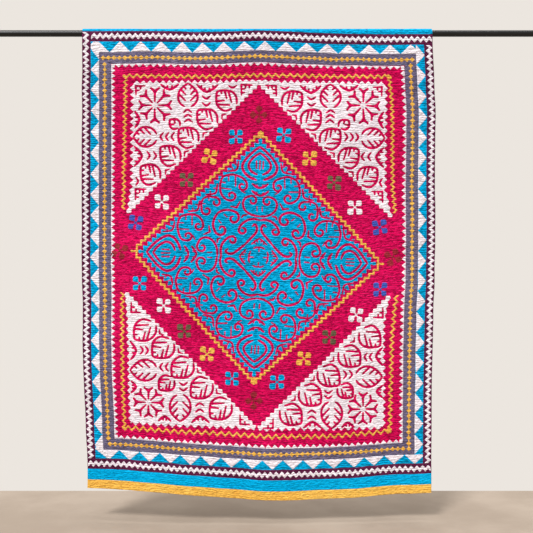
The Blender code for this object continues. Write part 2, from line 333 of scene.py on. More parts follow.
def wedge(d, p, q, h0, h1):
    """Adds one straight stroke that narrows from half width h0 to h1."""
    reach = max(h0, h1) + REACH
    a = span(GU, min(p[0], q[0]) - reach, max(p[0], q[0]) + reach)
    b = span(GW, min(p[1], q[1]) - reach, max(p[1], q[1]) + reach)
    near, t = to_segment(GU[a, None], GW[None, b], p, q)
    d[a, b] = np.maximum(d[a, b], h0 + (h1 - h0) * t - near)


def polygon(d, pts):
    """Adds the inside of a closed outline."""
    pts = np.asarray(pts, dtype=float)
    a = span(GU, pts[:, 0].min() - REACH, pts[:, 0].max() + REACH)
    b = span(GW, pts[:, 1].min() - REACH, pts[:, 1].max() + REACH)
    if a.start == a.stop or b.start == b.stop:
        return
    U, W = GU[a, None], GW[None, b]
    near = np.full((a.stop - a.start, b.stop - b.start), REACH)
    inside = np.zeros(near.shape, dtype=bool)
    for p, q in zip(pts, np.roll(pts, -1, axis=0)):
        aa = span(GU, min(p[0], q[0]) - REACH, max(p[0], q[0]) + REACH)
        bb = span(GW, min(p[1], q[1]) - REACH, max(p[1], q[1]) + REACH)
        if aa.start < aa.stop and bb.start < bb.stop:
            view = near[aa.start - a.start:aa.stop - a.start, bb.start - b.start:bb.stop - b.start]
            np.minimum(view, to_segment(GU[aa, None], GW[None, bb], p, q)[0], out=view)
        if p[1] != q[1]:
            cols = (W[0] > min(p[1], q[1])) & (W[0] <= max(p[1], q[1]))
            if cols.any():
                at = p[0] + (W[0][cols] - p[1]) * (q[0] - p[0]) / (q[1] - p[1])
                inside[:, cols] ^= U < at[None, :]
    d[a, b] = np.maximum(d[a, b], np.where(inside, near, -near))


def patch(name, d, mat, base=TOP_H, thick=PATCH_T):
    """Cuts the cloth where d > 0 out of the grid, with a turned-under edge."""
    nu, nw = d.shape
    keep = np.where(np.abs(d) < 1e-6, -1e-6, d)
    s = keep > 0
    code = (s[:-1, :-1] * 1 + s[1:, :-1] * 2 + s[1:, 1:] * 4 + s[:-1, 1:] * 8)
    H0 = nu * nw                      # crossings on lines along u
    V0 = H0 + (nu - 1) * nw           # crossings on lines along w
    faces = {3: [], 4: [], 5: [], 6: []}
    for case in range(1, 16):
        i, j = np.nonzero(code == case)
        if not len(i):
            continue
        node = [i * nw + j, (i + 1) * nw + j, (i + 1) * nw + j + 1, i * nw + j + 1]
        side = [H0 + i * nw + j, V0 + (i + 1) * (nw - 1) + j, H0 + i * nw + j + 1, V0 + i * (nw - 1) + j]
        bits = [bool(case & (1 << k)) for k in range(4)]
        if case == 5:
            outlines = [[node[0], side[0], side[3]], [node[2], side[2], side[1]]]
        elif case == 10:
            outlines = [[node[1], side[1], side[0]], [node[3], side[3], side[2]]]
        else:
            outline = []
            for k in range(4):
                if bits[k]:
                    outline.append(node[k])
                if bits[k] != bits[(k + 1) % 4]:
                    outline.append(side[k])
            outlines = [outline]
        for outline in outlines:
            faces[len(outline)].append(np.stack(outline[::-1], axis=1))
    groups = [np.concatenate(g) for g in faces.values() if g]
    used = np.unique(np.concatenate([g.reshape(-1) for g in groups]))
    u = np.empty(len(used))
    w = np.empty(len(used))
    e = np.zeros(len(used))
    m = used < H0
    i, j = used[m] // nw, used[m] % nw
    u[m], w[m], e[m] = GU[i], GW[j], keep[i, j]
    m = (used >= H0) & (used < V0)
    i, j = (used[m] - H0) // nw, (used[m] - H0) % nw
    a, b = keep[i, j], keep[i + 1, j]
    t = np.clip(a / (a - b), 0.06, 0.94)
    u[m], w[m] = GU[i] + t * (GU[i + 1] - GU[i]), GW[j]
    m = used >= V0
    i, j = (used[m] - V0) // (nw - 1), (used[m] - V0) % (nw - 1)
    a, b = keep[i, j], keep[i, j + 1]
    t = np.clip(a / (a - b), 0.06, 0.94)
    u[m], w[m] = GU[i], GW[j] + t * (GW[j + 1] - GW[j])
    rise = np.clip(e / 0.0022, 0, 1)
    rise = np.sqrt(rise * (2 - rise))
    h = base - 0.00025 + (thick + 0.00025) * rise
    p, row = place(u, w, h)
    chart = np.stack([u, w, e], axis=1)
    groups = [np.searchsorted(used, g) for g in groups]
    return make(name, p, groups, chart, sewing(u, w, row), mat)


def spline(pts, per=6, closed=False):
    """Smooth line through the points."""
    p = np.asarray(pts, dtype=float)
    if closed:
        p = np.concatenate([p[-1:], p, p[:2]])
    else:
        p = np.concatenate([2 * p[:1] - p[1:2], p, 2 * p[-1:] - p[-2:-1]])
    out = []
    t = np.linspace(0, 1, per, endpoint=False)[:, None]
    for k in range(1, len(p) - 2):
        a, b, c, d = p[k - 1], p[k], p[k + 1], p[k + 2]
        out.append(0.5 * (2 * b + (c - a) * t + (2 * a - 5 * b + 4 * c - d) * t * t
                          + (3 * b - a - 3 * c + d) * t ** 3))
    if not closed:
        out.append(p[-2:-1])
    return np.concatenate(out)


def by_hand(pts, size=0.0016, seed=41):
    """Small wanderings of a hand that cuts and sews."""
    p = np.asarray(pts, dtype=float)
    q = p.copy()
    q[:, 0] += size * noise(p[:, 0] / 0.045, p[:, 1] / 0.045, seed)
    q[:, 1] += size * noise(p[:, 0] / 0.045, p[:, 1] / 0.045, seed + 1)
    return q


# ---------------------------------------------------------------- cotton
def principled(mat):
    mat.use_nodes = True
    nt = mat.node_tree
    return nt, nt.nodes["Principled BSDF"]


class Build:
    """Short hands for a node tree."""

    def __init__(self, mat):
        self.nt, self.shader = principled(mat)

    def new(self, kind, **values):
        node = self.nt.nodes.new(kind)
        for key, value in values.items():
            setattr(node, key, value)
        return node

    def link(self, a, b):
        self.nt.links.new(a, b)

    def put(self, socket, value):
        if hasattr(value, "is_output") or hasattr(value, "links"):
            self.link(value, socket)
        else:
            socket.default_value = value

    def math(self, op, a, b=0.0, c=0.0, clamp=False):
        node = self.new("ShaderNodeMath", operation=op, use_clamp=clamp)
        for socket, value in zip(node.inputs, (a, b, c)):
            self.put(socket, value)
        return node.outputs[0]

    def mix(self, factor, a, b, blend="MIX"):
        node = self.new("ShaderNodeMix", data_type="RGBA", blend_type=blend)
        self.put(node.inputs[0], factor)
        self.put(node.inputs[6], a)
        self.put(node.inputs[7], b)
        return node.outputs[2]

    def step(self, value, lo, hi):
        node = self.new("ShaderNodeMapRange", interpolation_type="SMOOTHSTEP")
        self.put(node.inputs[0], value)
        node.inputs[1].default_value = lo
        node.inputs[2].default_value = hi
        return node.outputs[0]

    def noise(self, vector, scale, detail=2.0, rough=0.5, stretch=None):
        if stretch:
            m = self.new("ShaderNodeMapping")
            m.inputs["Scale"].default_value = stretch
            self.link(vector, m.inputs["Vector"])
            vector = m.outputs[0]
        node = self.new("ShaderNodeTexNoise")
        node.inputs["Scale"].default_value = scale
        node.inputs["Detail"].default_value = detail
        node.inputs["Roughness"].default_value = rough
        self.link(vector, node.inputs["Vector"])
        return node.outputs[0]


def rgb(r, g, b):
    """A colour from its 0-255 sRGB values."""
    out = []
    for v in (r, g, b):
        v = v / 255
        out.append(v / 12.92 if v <= 0.04045 else ((v + 0.055) / 1.055) ** 2.4)
    return (*out, 1.0)


def cotton(name, body, dark, light, thread, thread_mix=0.6, groove_shade=0.30, crest_highlight=None):
    """Plain-woven cotton sewn through with running stitch, with painted shade in its furrows and hollows."""
    mat = bpy.data.materials.new(name)
    b = Build(mat)
    chart = b.new("ShaderNodeAttribute", attribute_name="chart").outputs["Vector"]
    quilt = b.new("ShaderNodeAttribute", attribute_name="quilt").outputs["Vector"]
    sep = b.new("ShaderNodeSeparateXYZ")
    b.link(quilt, sep.inputs[0])
    row, along, pull = sep.outputs[0], sep.outputs[1], sep.outputs[2]
    sepc = b.new("ShaderNodeSeparateXYZ")
    b.link(chart, sepc.inputs[0])
    edge = sepc.outputs[2]
    flat = b.new("ShaderNodeCombineXYZ")
    b.link(sepc.outputs[0], flat.inputs[0])
    b.link(sepc.outputs[1], flat.inputs[1])
    flat = flat.outputs[0]
    # distance from the sewn line, in rows; the furrow mask for painted shade is deepest where the thread pulls
    off = b.math("ABSOLUTE", b.math("SUBTRACT", b.math("FRACT", b.math("ADD", row, 0.5)), 0.5))
    hem = b.step(sepc.outputs[1], END - W_BLU - 0.002, END - W_BLU + 0.002)
    calm = b.math("SUBTRACT", 1.0, b.math("MULTIPLY", hem, 0.55))
    furrow_shade = b.math("SUBTRACT", 1.0, b.step(off, 0.02, 0.34))
    furrow_shade = b.math("MULTIPLY", b.math("MULTIPLY", furrow_shade, b.step(pull, 0.10, 1.45)), calm)
    line = b.math("SUBTRACT", 1.0, b.step(off, 0.035, 0.085))
    beat = b.math("ABSOLUTE", b.math("SUBTRACT", b.math("FRACT", along), 0.5))
    dash = b.math("SUBTRACT", 1.0, b.step(beat, 0.22, 0.30))
    stitch = b.math("MULTIPLY", line, dash)
    # short ripples that run along the rows
    along_rows = b.new("ShaderNodeCombineXYZ")
    b.link(b.math("MULTIPLY", sepc.outputs[0], 62.0), along_rows.inputs[0])
    b.link(b.math("MULTIPLY", row, 1.30), along_rows.inputs[1])
    ripple = b.noise(along_rows.outputs[0], 1.0, 2.0, 0.55)
    # fading, mottling and threads
    fade = b.noise(flat, 2.6, 3.0, 0.55)
    mottle = b.noise(flat, 34.0, 4.0, 0.6, (1.0, 2.0, 1.0))
    warp = b.noise(flat, 260.0, 1.0, 0.5, (5.0, 0.55, 1.0))
    weft = b.noise(flat, 260.0, 1.0, 0.5, (0.55, 5.0, 1.0))
    threads = b.math("MULTIPLY", b.math("ADD", warp, weft), 0.5)
    tone = b.math("ADD", b.math("MULTIPLY", fade, 0.45), b.math("MULTIPLY", mottle, 0.55))
    tone = b.math("ADD", tone, b.math("MULTIPLY", b.math("SUBTRACT", threads, 0.5), 0.9))
    low = b.mix(b.step(tone, 0.30, 0.52), dark, body)
    colour = b.mix(b.step(tone, 0.52, 0.74), low, light)
    if crest_highlight:
        # painted highlight: a lighter pink on the crests of the puffs, in patches, where light falls
        highlight_mask = b.math("MULTIPLY", b.step(off, 0.30, 0.5), b.step(mottle, 0.50, 0.70))
        colour = b.mix(b.math("MULTIPLY", highlight_mask, 0.35), colour, crest_highlight)
    # painted shade: the colour is darkened along the sewn furrows and in the ripple hollows, where shadow falls; its
    # strength is set per cloth and is less by the bottom hem
    shade = b.new("ShaderNodeCombineColor")
    hollow_shade = b.math("SUBTRACT", 1.0, b.step(ripple, 0.34, 0.56))
    hollow_shade = b.math("MULTIPLY", b.math("MULTIPLY", hollow_shade, calm), 0.85)
    depth = b.math("MULTIPLY", b.math("MAXIMUM", furrow_shade, hollow_shade), groove_shade)
    keep = b.math("SUBTRACT", 1.0, depth)
    for socket in shade.inputs:
        b.link(keep, socket)
    colour = b.mix(1.0, colour, shade.outputs[0], "MULTIPLY")
    # the fold of a patch's edge holds a little shadow
    rim = b.math("SUBTRACT", 1.0, b.step(edge, 0.0, 0.0013))
    colour = b.mix(b.math("MULTIPLY", rim, 0.45), colour, dark)
    colour = b.mix(b.math("MULTIPLY", stitch, thread_mix), colour, thread)
    b.link(colour, b.shader.inputs["Base Color"])
    # bump: small wrinkles first, then threads, needle holes and the thread itself
    folds = b.new("ShaderNodeBump")
    folds.inputs["Strength"].default_value = 1.0
    folds.inputs["Distance"].default_value = 0.0095
    b.link(ripple, folds.inputs["Height"])
    holes = b.math("MULTIPLY", line, b.math("SUBTRACT", 1.0, dash))
    height = b.math("ADD", b.math("MULTIPLY", threads, 0.35), b.math("MULTIPLY", stitch, 0.45))
    height = b.math("SUBTRACT", height, b.math("MULTIPLY", holes, 0.80))
    height = b.math("ADD", height, b.math("MULTIPLY", mottle, 0.6))
    bump = b.new("ShaderNodeBump")
    bump.inputs["Strength"].default_value = 0.60
    bump.inputs["Distance"].default_value = 0.0010
    b.link(height, bump.inputs["Height"])
    b.link(folds.outputs[0], bump.inputs["Normal"])
    b.link(bump.outputs[0], b.shader.inputs["Normal"])
    rough = b.math("ADD", 0.80, b.math("MULTIPLY", threads, 0.16))
    b.link(rough, b.shader.inputs["Roughness"])
    b.shader.inputs["Specular IOR Level"].default_value = 0.03
    b.shader.inputs["Sheen Weight"].default_value = 0.03
    b.shader.inputs["Sheen Roughness"].default_value = 0.5
    b.shader.inputs["Sheen Tint"].default_value = body
    return mat


# the last numbers set how dark the painted shade in each cloth's furrows and hollows is; crimson also has a painted
# highlight on its puffs
CRIMSON = cotton("crimson_cotton", rgb(224, 11, 90), rgb(185, 4, 67), rgb(246, 33, 114), rgb(226, 56, 116), 0.55,
                 groove_shade=0.72, crest_highlight=rgb(236, 58, 122))
MAROON = cotton("maroon_cotton", rgb(98, 33, 71), rgb(66, 13, 43), rgb(128, 51, 95), rgb(150, 80, 110), 0.5, groove_shade=0.48)
TURQUOISE = cotton("turquoise_cotton", rgb(2, 177, 232), rgb(0, 148, 204), rgb(28, 200, 248), rgb(2, 116, 172), 0.50,
                   groove_shade=0.64)
WHITE = cotton("white_cotton", rgb(247, 240, 246), rgb(225, 215, 226), rgb(252, 249, 252), rgb(226, 158, 186), 0.55,
               groove_shade=0.34)
SLATE = cotton("slate_cotton", rgb(112, 103, 132), rgb(80, 72, 100), rgb(144, 135, 162), rgb(176, 170, 186), 0.55,
               groove_shade=0.50)
YELLOW = cotton("yellow_cotton", rgb(242, 190, 86), rgb(224, 159, 62), rgb(250, 209, 114), rgb(226, 130, 66), 0.45,
                groove_shade=0.42)
OLIVE = cotton("olive_cotton", rgb(108, 100, 76), rgb(84, 81, 55), rgb(130, 126, 93), rgb(150, 66, 66), 0.4)
ROYAL = cotton("royal_blue_cotton", rgb(62, 92, 184), rgb(44, 68, 154), rgb(84, 112, 202), rgb(120, 90, 160), 0.4)
BROWN = cotton("brown_cotton", rgb(152, 46, 56), rgb(122, 26, 40), rgb(176, 68, 72), rgb(176, 76, 78), 0.4)
BACKING = cotton("backing_cotton", rgb(214, 200, 178), rgb(198, 182, 158), rgb(226, 214, 194), rgb(196, 96, 120), 0.6)

SLOTS = {
    "crimson_cotton": CRIMSON, "maroon_cotton": MAROON, "turquoise_cotton": TURQUOISE, "white_cotton": WHITE,
    "grey_cotton": SLATE, "yellow_cotton": YELLOW, "olive_cotton": OLIVE, "royal_blue_cotton": ROYAL,
    "brown_cotton": BROWN, "backing_cotton": BACKING}
NAMES = {mat.name: slot for slot, mat in SLOTS.items()}

# ---------------------------------------------------------------- camera, light and floor first
K = 0.004343             # metres of quilt per unit of the drawing
AIM = (0.039, -1.017)    # the camera's x and z

camera = bpy.data.cameras.new("camera")
camera.sensor_width = 36.0
camera.lens = 62.2
cam = bpy.data.objects.new("camera", camera)
cam.location = (AIM[0], -4.02, AIM[1])
cam.rotation_euler = (math.radians(90), 0, 0)
bpy.context.scene.collection.objects.link(cam)
bpy.context.scene.camera = cam
bpy.context.scene.view_settings.view_transform = "Standard"

world = bpy.data.worlds.new("studio")
bpy.context.scene.world = world
world.use_nodes = True
wall = world.node_tree.nodes["Background"]
wall.inputs[0].default_value = rgb(236, 230, 223)
fill = world.node_tree.nodes.new("ShaderNodeBackground")
fill.inputs[0].default_value = rgb(240, 238, 236)
fill.inputs[1].default_value = 0.625
seen = world.node_tree.nodes.new("ShaderNodeLightPath")
which = world.node_tree.nodes.new("ShaderNodeMixShader")
world.node_tree.links.new(seen.outputs["Is Camera Ray"], which.inputs[0])
world.node_tree.links.new(fill.outputs[0], which.inputs[1])
world.node_tree.links.new(wall.outputs[0], which.inputs[2])
world.node_tree.links.new(which.outputs[0], world.node_tree.nodes["World Output"].inputs["Surface"])

sun = bpy.data.lights.new("key", "SUN")
sun.energy = 3.12
sun.angle = math.radians(14)
key = bpy.data.objects.new("key", sun)
key.rotation_euler = (math.radians(45), 0, math.radians(-26))
bpy.context.scene.collection.objects.link(key)
above = bpy.data.lights.new("above", "SUN")
above.energy = 1.95
above.angle = math.radians(30)
over = bpy.data.objects.new("above", above)
over.rotation_euler = (math.radians(2), 0, 0)
bpy.context.scene.collection.objects.link(over)

FLOOR_Z = -2.135
BACK_EDGE = 0.57
floor_me = bpy.data.meshes.new("floor")
floor_me.from_pydata([(-5, -6.5, FLOOR_Z), (5, -6.5, FLOOR_Z), (5, BACK_EDGE, FLOOR_Z), (-5, BACK_EDGE, FLOOR_Z)],
                     [], [(0, 1, 2, 3)])
floor = bpy.data.objects.new("floor", floor_me)
bpy.context.scene.collection.objects.link(floor)
floor_mat = bpy.data.materials.new("floor_plaster")
fb = Build(floor_mat)
fco = fb.new("ShaderNodeTexCoord").outputs["Object"]
fn = fb.noise(fco, 2.2, 5.0, 0.6)
fb.link(fb.mix(fb.step(fn, 0.3, 0.7), rgb(145, 130, 115), rgb(161, 146, 131)), fb.shader.inputs["Base Color"])
fb.shader.inputs["Roughness"].default_value = 0.8
floor_me.materials.append(floor_mat)

# ---------------------------------------------------------------- the ground cloth
pieces = []


def add(ob, slot, *nodes):
    if nodes:
        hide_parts(*nodes)
    pieces.append(ob)
    return ob


def refined(lo, hi, step, at, near, small):
    """Grid lines from lo to hi, closer together within near of at."""
    a, b = at - near, at + near
    parts = [np.linspace(lo, a, int(round((a - lo) / step)) + 1), np.linspace(a, b, int(round(2 * near / small)) + 1)[1:],
             np.linspace(b, hi, int(round((hi - b) / step)) + 1)[1:]]
    return np.concatenate(parts)


def ground():
    inset = 0.0012
    us = refined(-U_EDGE + inset, U_EDGE - inset, 0.0220, 0.008, 0.030, 0.0038)
    coarse = np.concatenate([np.linspace(inset, 0.10, 26), refined(0.10, END - inset, 0.0094, 1.057, 0.030, 0.0030)[1:]])
    fine = np.sort(np.concatenate([coarse, (coarse[:-1] + coarse[1:]) / 2]))
    nf, nb, n = len(coarse), len(fine), len(us)
    U, W = np.meshgrid(us, coarse, indexing="ij")
    row_f = quilt_row(U, W)
    front = hang(U, W) + facing(U, W) * (body_relief(U, W) - 0.0012 - 0.0010 * unrolled(W))[..., None]
    U2, W2 = np.meshgrid(us, fine, indexing="ij")
    row_b = quilt_row(U2, W2)
    inner = body_relief(U2, W2) - GROUND_T - 0.0008 - (0.0009 + 0.35 * pucker(U2, W2, row_b)) * unrolled(W2)
    back = hang(U2, W2) + facing(U2, W2) * inner[..., None]
    points = np.concatenate([front.reshape(-1, 3), back.reshape(-1, 3)])
    i, j = np.meshgrid(np.arange(n - 1), np.arange(nf - 1), indexing="ij")
    c = (i * nf + j).ravel()
    quads = [np.stack([c, c + 1, c + nf + 1, c + nf], axis=1)]
    base = n * nf
    i, j = np.meshgrid(np.arange(n - 1), np.arange(nb - 1), indexing="ij")
    c = base + (i * nb + j).ravel()
    quads.append(np.stack([c, c + nb, c + nb + 1, c + 1], axis=1))
    k = np.arange(n - 1)
    # top and bottom rims
    quads.append(np.stack([k * nf, (k + 1) * nf, base + (k + 1) * nb, base + k * nb], axis=1))
    quads.append(np.stack([k * nf + nf - 1, base + k * nb + nb - 1, base + (k + 1) * nb + nb - 1,
                           (k + 1) * nf + nf - 1], axis=1))
    # side rims: one front cell to two back cells
    m = np.arange(nf - 1)
    left = np.stack([m, base + 2 * m, base + 2 * m + 1, base + 2 * m + 2, m + 1], axis=1)
    f0, b0 = (n - 1) * nf, base + (n - 1) * nb
    right = np.stack([f0 + m, f0 + m + 1, b0 + 2 * m + 2, b0 + 2 * m + 1, b0 + 2 * m], axis=1)
    chart = np.concatenate([np.stack([U, W, np.full(U.shape, 0.02)], -1).reshape(-1, 3),
                            np.stack([U2, W2, np.full(U2.shape, 0.02)], -1).reshape(-1, 3)])
    quilt = np.concatenate([sewing(U, W, row_f), sewing(U2, W2, row_b)])
    return make("ground_cloth", points, [np.concatenate(quads), np.concatenate([left, right])], chart, quilt, BACKING)


ground_cloth = add(ground(), "backing_cotton", "quilt_ground")
pieces.remove(ground_cloth)

# ---------------------------------------------------------------- strips and field
for name, box, mat, sides in (
        ("band_yellow_top", (-U_EDGE, U_EDGE, 0.0, W_YEL), YELLOW, "eees"),
        ("band_blue_top", (-U_EDGE, U_EDGE, W_YEL, W_BLU), TURQUOISE, "eess"),
        ("band_blue_bottom", (-U_EDGE, U_EDGE, END - W_BLU, END - W_YEL), TURQUOISE, "eess"),
        ("band_yellow_bottom", (-U_EDGE, U_EDGE, END - W_YEL, END), YELLOW, "eese"),
        ("zigzag_top", (-U_ZIG, U_EDGE, W_BLU, W_ZIG), MAROON, "sess"),
        ("zigzag_left", (-U_EDGE, -U_ZIG, W_BLU, END - W_ZIG), MAROON, "esss"),
        ("zigzag_right", (U_ZIG, U_EDGE, W_ZIG, END - W_ZIG), MAROON, "sess"),
        ("zigzag_bottom", (-U_EDGE, U_EDGE, END - W_ZIG, END - W_BLU), MAROON, "eess"),
        ("triangles_top", (-U_ZIG, U_ZIG, W_ZIG, W_TRI), TURQUOISE, "ssss"),
        ("triangles_bottom", (-U_ZIG, U_ZIG, END - W_TRI, END - W_ZIG), TURQUOISE, "ssss"),
        ("triangles_left", (-U_ZIG, -U_TRI, W_TRI, END - W_TRI), TURQUOISE, "ssss"),
        ("triangles_right", (U_TRI, U_ZIG, W_TRI, END - W_TRI), TURQUOISE, "ssss"),
        ("chain_top", (-U_TRI, U_TRI, W_TRI, W_GREY), SLATE, "ssss"),
        ("chain_bottom", (-U_TRI, U_TRI, END - W_GREY, END - W_TRI), SLATE, "ssss"),
        ("chain_left", (-U_TRI, -U_GREY, W_GREY, END - W_GREY), SLATE, "ssss"),
        ("chain_right", (U_GREY, U_TRI, W_GREY, END - W_GREY), SLATE, "ssss"),
        ("centre_field", (-U_GREY, U_GREY, W_GREY, END - W_GREY), CRIMSON, "ssss")):
    cells = (0.0075, ROW / 3.2) if name == "centre_field" else (0.0094, ROW / 4)
    add(panel("cloth_" + name, *box, mat, sides, *cells), NAMES[mat.name], name)


# ---------------------------------------------------------------- border patches
def walk(pts, steps):
    """Evenly spaced points along a run of points, and the side direction at each."""
    p = np.asarray(pts, dtype=float)
    gaps = np.hypot(*(p[1:] - p[:-1]).T)
    at = np.concatenate([[0], np.cumsum(gaps)])
    t = np.linspace(0, at[-1], steps + 1)
    mid = np.stack([np.interp(t, at, p[:, 0]), np.interp(t, at, p[:, 1])], axis=1)
    run = np.gradient(mid, axis=0)
    side = np.stack([-run[:, 1], run[:, 0]], axis=1)
    return mid, side / np.linalg.norm(side, axis=1, keepdims=True)


def zigzag_band(d, pts, count, wave, half, first=1):
    """A sharp zigzag ribbon along a run of points: count half waves."""
    mid, n = walk(pts, count)
    sign = first * np.where(np.arange(count + 1) % 2 == 0, 1, -1)
    mid = by_hand(mid + n * (wave / 2 * sign)[:, None], 0.0011, 51)
    polygon(d, np.concatenate([mid + n * half, (mid - n * half)[::-1]]))


white = field()
u_l, u_r = -U_EDGE + 0.0160, U_EDGE - 0.0152
zigzag_band(white, [(-U_ZIG + 0.003, W_BLU + 0.0225), (U_EDGE - 0.001, W_BLU + 0.0225)], 116, 0.0140, 0.0084)
zigzag_band(white, [(-U_EDGE + 0.002, END - W_ZIG + 0.0225), (U_EDGE - 0.001, END - W_ZIG + 0.0225)], 122, 0.0140, 0.0084)
zigzag_band(white, [(u_l, W_BLU + 0.004), (u_l, END - W_ZIG - 0.001)], 146, 0.0150, 0.0082)
zigzag_band(white, [(u_r, W_ZIG + 0.002), (u_r, END - W_ZIG - 0.001)], 142, 0.0150, 0.0082)
add(patch("zigzag_ribbons", white, WHITE), "white_cotton")

teeth = field()


def dog_teeth(d, apexes, base_at, tip_at, pitch, upright):
    """Triangles with their bases side by side on one seam and their tips on the other."""
    for at in apexes:
        pts = [(at - pitch / 2, base_at), (at + pitch / 2, base_at), (at + 0.0012, tip_at), (at - 0.0012, tip_at)]
        pts = [(a, b) if upright else (b, a) for a, b in pts]
        polygon(d, by_hand(pts, 0.0016, 53))


dog_teeth(teeth, -0.597 + 0.0901 * np.arange(15), W_TRI + 0.0006, W_ZIG + 0.0006, 0.0901, True)
dog_teeth(teeth, -0.660 + 0.0898 * np.arange(16), END - W_TRI - 0.0006, END - W_ZIG - 0.0006, 0.0898, True)
dog_teeth(teeth, 0.2505 + 0.0926 * np.arange(19), -U_TRI - 0.0006, -U_ZIG + 0.0006, 0.0926, False)
dog_teeth(teeth, 0.1777 + 0.0903 * np.arange(20), U_TRI + 0.0006, U_ZIG - 0.0006, 0.0903, False)
# two corners differ, drawn from the grey strip's corner outwards
UPPER = [(0.0248, 0.0390), (0.0020, 0.0390), (-0.0450, 0.0), (0.0, 0.0), (0.0, -0.0330), (0.0362, 0.0140), (0.0362, 0.0290)]
LOWER = [(0.0, -0.0465), (0.0370, -0.0040), (-0.0182, 0.0400), (-0.0650, 0.0), (0.0, 0.0)]
for shape, su, sw in ((UPPER, -1, -1), (LOWER, -1, 1)):
    cu, cw = su * U_TRI, (W_TRI if sw < 0 else END - W_TRI)
    polygon(teeth, [(cu + su * a, cw + sw * b) for a, b in shape])
within = np.minimum((U_ZIG - 0.0004) - np.abs(GU)[:, None],
                    np.minimum(GW - W_ZIG - 0.0004, END - W_ZIG - 0.0004 - GW)[None, :])
add(patch("dog_tooth_patches", np.minimum(teeth, within), WHITE), "white_cotton")

chain = field()


def diamonds(d, start, stop, count, size=0.0112, neck=0.0024):
    t = np.linspace(0, 1, count)[:, None]
    mids = by_hand(np.array(start) + (np.array(stop) - np.array(start)) * t, 0.0012, 55)
    grow = 1 + 0.08 * noise(mids[:, 0] / 0.02, mids[:, 1] / 0.02, 56)
    for (a, b), g in zip(mids, grow):
        r = size * g
        polygon(d, [(a - r, b), (a, b - r), (a + r, b), (a, b + r)])
    stroke(d, mids, neck)


mid = GREY_W / 2
diamonds(chain, (-0.669, W_TRI + mid), (0.669, W_TRI + mid), 58)
diamonds(chain, (-0.656, END - W_TRI - mid), (0.636, END - W_TRI - mid), 56)
diamonds(chain, (-U_TRI + mid - 0.002, W_TRI + mid + 0.028), (-U_TRI + mid - 0.002, END - W_TRI - mid - 0.026), 69)
diamonds(chain, (U_TRI - mid, W_TRI + mid + 0.026), (U_TRI - mid, END - W_TRI - mid), 71)
add(patch("diamond_chain", chain, YELLOW), "yellow_cotton")

saw = field()


def sawteeth(d, along_u, at, inward, lo, hi, count, height):
    """White teeth on a seam, mitred at both ends."""
    xs = np.linspace(lo + height, hi - height, count + 1)
    pts = [(lo + 0.0012, at), (lo + height - 0.001, at + inward * height * 0.93)]
    for a, b in zip(xs[:-1], xs[1:]):
        pts += [(a + 0.001, at + inward * 0.0012), ((a + b) / 2, at + inward * height)]
    pts += [(xs[-1], at + inward * 0.0012), (hi - height + 0.001, at + inward * height * 0.93), (hi - 0.0012, at)]
    pts = [(a, b) if along_u else (b, a) for a, b in pts]
    polygon(d, by_hand(pts, 0.0009, 57))


sawteeth(saw, True, W_GREY + 0.0005, 1, -U_GREY, U_GREY, 41, 0.0165)
sawteeth(saw, True, END - W_GREY - 0.0005, -1, -U_GREY, U_GREY, 44, 0.0165)
sawteeth(saw, False, -U_GREY + 0.0005, 1, W_GREY, END - W_GREY, 62, 0.0180)
sawteeth(saw, False, U_GREY - 0.0005, -1, W_GREY, END - W_GREY, 54, 0.0185)
add(patch("saw_edging", saw, WHITE), "white_cotton")

# ---------------------------------------------------------------- the drawing board
# The cut-work was laid out on the hanging face: board units across from the
# left and down from the rod, 4.343 mm each, taken back to the flat chart here.
BOARD = (257.5, 32.3)


def to_chart(pts):
    p = np.asarray(pts, dtype=float)
    x, s = (p[:, 0] - BOARD[0]) * K, (p[:, 1] - BOARD[1]) * K
    u = x.copy()
    for _ in range(3):
        across = (u + U_EDGE) / WIDTH
        u = x - curve(LEFT_EDGE, s) * (1 - across) - curve(RIGHT_EDGE, s) * across
    top, bottom = curve(TOP_LINE, u), curve(BOTTOM_LINE, u)
    w = W_ZIG + (s - top) / (bottom - top) * (LENGTH - 2 * W_ZIG)
    for _ in range(2):
        w = w + (s - fall(u, w))
    return np.stack([u, w], axis=1)


CENTRE = np.array([257.3, 257.5])
ACROSS = np.array([1.0, 0.0508])        # the medallion's own axes, a little turned
UP = np.array([0.0274, -1.0])


def on_medallion(pts):
    """Medallion coordinates, across and up from its centre, to the chart."""
    p = np.asarray(pts, dtype=float)
    return to_chart(CENTRE + p[:, :1] * ACROSS + p[:, 1:] * UP)


# ---------------------------------------------------------------- thin yellow zigzags
def stepped_diamond(middle, tread, notch=0.0):
    """A diamond with stepped sides that keep to |a| + |b| = middle; its tips are left off."""
    m = max(2, int(round(middle / tread - 0.5)))
    step = middle / (m + 0.5)
    quarter = []
    for k in range(m):
        quarter += [(middle - (k + 1) * step - notch, (k + 0.5) * step - notch * (k > 0)),
                    (middle - (k + 1) * step, (k + 1.5) * step)]
    quarter = np.array(quarter[:-1] if m * step > middle else quarter)
    quarter = quarter[quarter[:, 0] > 0.2]
    full = []
    for sx, sy, flip in ((1, 1, False), (-1, 1, True), (-1, -1, False), (1, -1, True)):
        part = quarter * (sx, sy)
        full.append(part[::-1] if flip else part)
    return full


